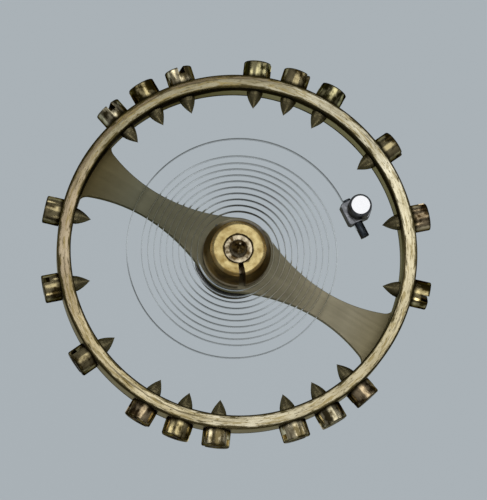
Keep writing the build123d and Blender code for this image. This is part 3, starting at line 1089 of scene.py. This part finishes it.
def camera():
    """Camera of the photograph: the wheel's axes as the picture shows them, then the camera's place."""
    sideways, upright = polar(1, 90 - staff_lean)
    staff_axis = Vector((*polar(sideways, staff_direction), upright))
    arm_axis = Vector((*polar(1, arm_direction), 0))
    arm_axis.z = -(arm_axis.x * staff_axis.x + arm_axis.y * staff_axis.y) / staff_axis.z
    arm_axis.normalize()
    rotation = Matrix((arm_axis, staff_axis.cross(arm_axis), staff_axis))
    across = (rim_centre_pixel[0] - frame_width / 2) / focal_pixels * camera_distance
    rise = (frame_height / 2 - rim_centre_pixel[1]) / focal_pixels * camera_distance
    place = Vector((0, 0, rim_top)) - rotation @ Vector((across, rise, -camera_distance))
    data = bpy.data.cameras.new("camera")
    data.sensor_width = sensor_size
    data.lens = focal_pixels / frame_height * sensor_size
    data.clip_start = MM
    holder = add_object("camera", data)
    holder.matrix_world = Matrix.Translation(place * MM) @ rotation.to_4x4()
    bpy.context.scene.camera = holder


def softbox(name, direction, elevation, distance, width, height, radiance):
    """Area lamp aimed at the wheel, on the side that this direction has in the picture."""
    data = bpy.data.lights.new(name, "AREA")
    data.shape = "RECTANGLE"
    data.size = width * MM
    data.size_y = height * MM
    data.energy = radiance * math.pi * data.size * data.size_y
    lamp = add_object(name, data)
    reach, rise = polar(distance, elevation)
    aim = Vector((*polar(reach, direction - arm_direction), rise))
    lamp.location = (aim + Vector((0, 0, rim_middle))) * MM
    lamp.rotation_euler = (-aim).to_track_quat("-Z", "Y").to_euler()
    lamp.visible_camera = False


def lights():
    """Large softbox over the wheel, a smaller one on each side and a dim room."""
    for name, settings in softboxes.items():
        softbox(name, *settings)
    world = bpy.data.worlds.new("room")
    bpy.context.scene.world = world
    room = Nodes(world)
    height = room.split(room.add("TexCoord", {}).outputs["Generated"])["Z"]
    dim = room.tree.nodes["Background"]
    room.feed(dim.inputs["Color"], room.blend(room.spread(height, *room_rise), room_low, room_high))
    plain = room.add("Background", {"Color": background})
    seen = room.add("LightPath", {}).outputs["Is Camera Ray"]
    choice = room.add("MixShader", {0: seen, 1: dim.outputs[0], 2: plain.outputs[0]})
    room.feed(room.tree.nodes["World Output"].inputs["Surface"], choice.outputs[0])


def floor():
    """Plain pale floor below the wheel, even in what the camera, gloss and glass see."""
    half = floor_size / 2
    corners = [(x, y, -floor_drop) for x, y in box_plan(-half, half, -half, half)]
    piece = solid("floor", corners, [[0, 1, 2, 3]])
    piece.data.transform(Matrix.Scale(MM, 4))
    paint = Nodes(bpy.data.materials.new("floor"))
    looks = {"Roughness": floor_roughness, "Specular IOR Level": 0.0, "Base Color": background}
    paint.fill(paint.shader, looks)
    glow = paint.add("Emission", {"Color": background, "Strength": floor_glow})
    path = paint.add("LightPath", {}).outputs
    seen = paint.larger(path["Is Camera Ray"], path["Is Glossy Ray"])
    seen = paint.larger(seen, path["Is Transmission Ray"])
    share = paint.times(seen, floor_glow_share)
    choice = paint.add("MixShader", {0: share, 1: paint.shader.outputs[0], 2: glow.outputs[0]})
    paint.feed(paint.tree.nodes["Material Output"].inputs["Surface"], choice.outputs[0])
    piece.data.materials.append(paint.owner)


def build_wheel():
    """Wheel, with a finish for each side of its rim and for the arms."""
    # dark is the walls' painted shade colour, lit the inner wall's painted light
    inner = wall_metal("rim_inner_wall", clean=(0.36, 0.32, 0.20), dull=(0.20, 0.17, 0.09),
                       dark=(0.016, 0.013, 0.005), upper=rim_middle - 0.22, lower=arm_bottom + 0.16,
                       grazing=(0.24, 0.21, 0.13), lit=(0.62, 0.57, 0.35), rise=0.36, fade=0.65)
    outer = wall_metal("rim_outer_wall", clean=(0.56, 0.49, 0.32), dull=(0.34, 0.28, 0.15),
                       dark=(0.055, 0.036, 0.016), upper=rim_top - 0.22, lower=arm_bottom + 0.24,
                       grazing=(0.5, 0.45, 0.34))
    piece = wheel()
    shade(piece, rim_metal(), inner, outer, arm_metal())
    paint_wheel(piece)
    settle(piece, "wheel")


def build_screws():
    """The screws round the rim, each with its own tint and turn."""
    master = screw_head()
    carve(master, screw_body(), "UNION")
    screws = zip(screw_angles, slot_angles, screw_finishes)
    for number, (angle, slot_angle, finish) in enumerate(screws, start=1):
        screw = add_object(f"screw_{number:02d}", master.data.copy())
        shade(screw, screw_metal(number, finish))
        screw.matrix_world = shift(0, 0, rim_middle * MM) @ turn(angle) @ turn(slot_angle, "X")
        settle(screw, f"rim_screw_{number:02d}")
    bpy.data.objects.remove(master)


def build_staff():
    """Staff with its roller, jewel and collet."""
    steel = Metal("staff_steel", clean=(0.62, 0.54, 0.38), dull=(0.10, 0.066, 0.026), marks=(1.5, 4.0),
                  patch=3.0, amount=(0.40, 0.58), marks_share=0.2)
    settle(shade(staff(), steel), "balance_staff")
    steel = Metal("roller_steel", clean=(0.20, 0.20, 0.20), dull=(0.08, 0.078, 0.07), roughness=(0.18, 0.35),
                  grain=0.4, marks=(1.0, 18.0))
    settle(shade(roller(), steel), "roller_table")
    settle(shade(jewel(), ruby()), "impulse_jewel")
    piece = shade(collet(), collet_side(), collet_face())
    finish_upward(piece, collet_top - collet_face_drop - collet_lift, 0.4)
    settle(piece, "collet")


def build_spring():
    """Hairspring, its stud and both pins."""
    dark = Metal("pin_steel", clean=(0.07, 0.08, 0.09), dull=(0.015, 0.02, 0.025), roughness=(0.25, 0.45),
                 grain=0.5, marks=(3.0, 10.0), patch=2.5, lengthwise=True)
    settle(shade(collet_pin(), dark), "collet_pin")
    side = Metal("stud_steel", clean=(0.30, 0.31, 0.33), dull=(0.05, 0.055, 0.062), marks=(3.0, 8.0),
                 grain=0.4, patch=1.6, lengthwise=True)
    end = Metal("stud_end", clean=(0.69, 0.695, 0.71), dull=(0.62, 0.63, 0.65), roughness=(0.08, 0.2),
                grain=0.1, marks=(1.0, 9.0))
    piece = shade(stud(), side, end)
    finish_upward(piece, stud_bottom + stud_height - stud_edge_bevel)
    settle(piece, "stud", "stud_body")
    settle(shade(stud_pin(), dark), "stud_pin", "stud_body")
    blade, shares = hairspring()
    # dark, left and right are the spring's painted shade colours
    side = spring_metal("spring_steel", clean=(0.96, 0.96, 0.95), dull=(0.84, 0.85, 0.85),
                        dark=(0.45, 0.46, 0.45), left=(0.34, 0.34, 0.32), right=(0.34, 0.34, 0.32))
    edge = spring_metal("spring_edge", clean=(0.37, 0.405, 0.42), dull=(0.31, 0.34, 0.355),
                        dark=(0.02, 0.022, 0.018), left=(0.085, 0.085, 0.055), right=(0.155, 0.145, 0.10))
    shade(blade, side, edge)
    finish_upward(blade, spring_middle)
    bpy.context.view_layer.update()
    end = Vector((collet_radius * MM, 0, spring_middle * MM))
    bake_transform(blade)
    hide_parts("hairspring")


build_wheel()
build_screws()
build_staff()
build_spring()
camera()
lights()
floor()
bpy.context.scene.view_settings.view_transform = "Standard"
